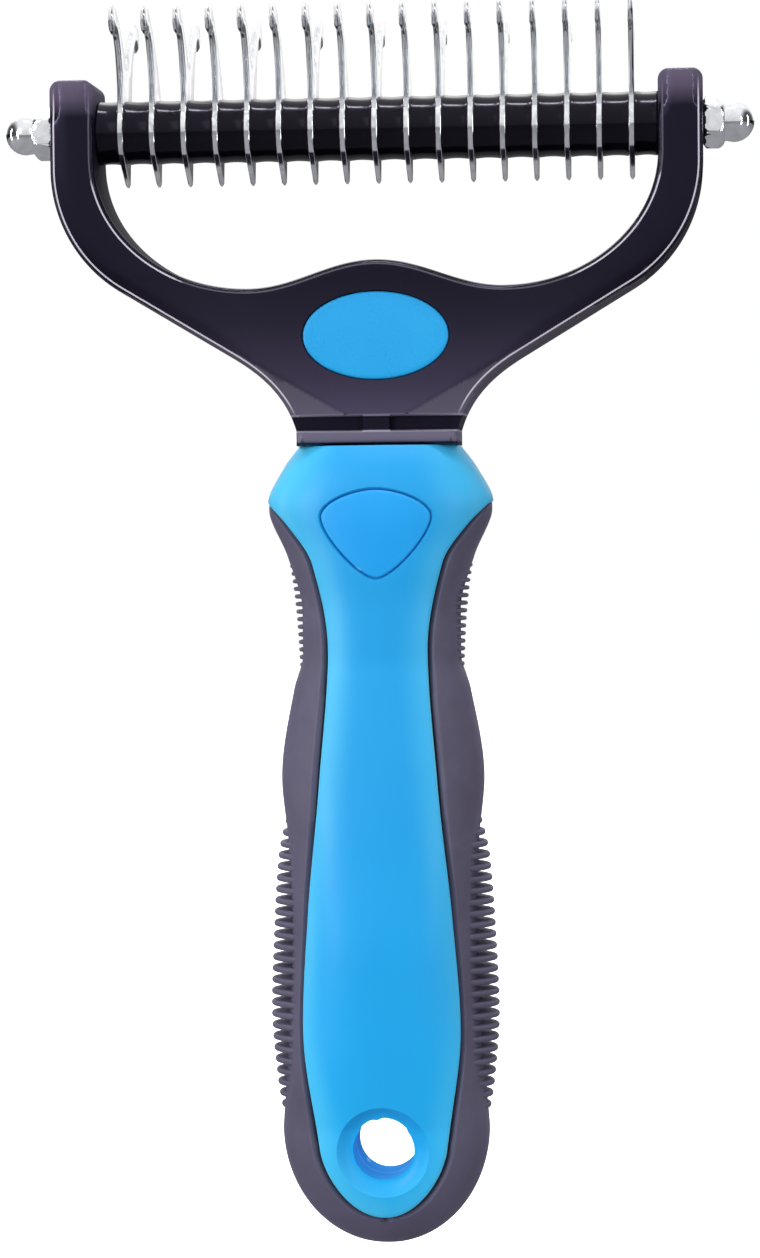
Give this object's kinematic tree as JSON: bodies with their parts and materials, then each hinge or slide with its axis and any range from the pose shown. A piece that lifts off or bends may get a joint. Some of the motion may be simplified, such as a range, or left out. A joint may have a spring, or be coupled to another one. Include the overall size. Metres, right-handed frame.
{
  "type": "dematting comb",
  "caption": "Two-sided dematting comb for pet coats: hooked steel blades clamped on an axle in a dark yoke, on a blue handle with a black rubber grip and a hanging hole.",
  "frame": {"origin": "centre of the hanging hole in the butt of the handle", "axes": "+Z along the handle towards the blades, -Y towards the fine side (a hook on every blade), +X to the right when the fine side faces the viewer"},
  "size_m": [0.1154, 0.026, 0.1906],
  "materials": {
    "yoke_plastic": "moulded nylon, satin gloss, near black",
    "badge_plastic": "moulded ABS inlay, glossy azure",
    "axle_steel": "drawn steel, thread rolled on both ends",
    "nut_chrome": "nickel-chrome plated, polished",
    "blade_steel": "stamped stainless steel, ground and tumbled",
    "spacer_plastic": "moulded acetal, semi-gloss black",
    "handle_plastic": "moulded ABS, satin azure",
    "grip_rubber": "moulded thermoplastic rubber, matt charcoal",
    "pad_plastic": "moulded ABS insert, satin azure, a shade deeper"
  },
  "bodies": {
    "root": {"yoke": "yoke_plastic", "badge_front": "badge_plastic", "badge_rear": "badge_plastic", "axle": "axle_steel", "cap_nut_left": "nut_chrome", "cap_nut_right": "nut_chrome", "blade_01": "blade_steel", "blade_02": "blade_steel", "blade_03": "blade_steel", "blade_04": "blade_steel", "blade_05": "blade_steel", "blade_06": "blade_steel", "blade_07": "blade_steel", "blade_08": "blade_steel", "blade_09": "blade_steel", "blade_10": "blade_steel", "blade_11": "blade_steel", "blade_12": "blade_steel", "blade_13": "blade_steel", "blade_14": "blade_steel", "blade_15": "blade_steel", "blade_16": "blade_steel", "blade_17": "blade_steel", "spacer_01": "spacer_plastic", "spacer_02": "spacer_plastic", "spacer_03": "spacer_plastic", "spacer_04": "spacer_plastic", "spacer_05": "spacer_plastic", "spacer_06": "spacer_plastic", "spacer_07": "spacer_plastic", "spacer_08": "spacer_plastic", "spacer_09": "spacer_plastic", "spacer_10": "spacer_plastic", "spacer_11": "spacer_plastic", "spacer_12": "spacer_plastic", "spacer_13": "spacer_plastic", "spacer_14": "spacer_plastic", "spacer_15": "spacer_plastic", "spacer_16": "spacer_plastic", "spacer_17": "spacer_plastic", "spacer_18": "spacer_plastic", "handle_front_shell": "handle_plastic", "handle_rear_shell": "handle_plastic", "grip_sleeve": "grip_rubber", "thumb_pad_front": "pad_plastic", "thumb_pad_rear": "pad_plastic"}
  },
  "joints": []
}
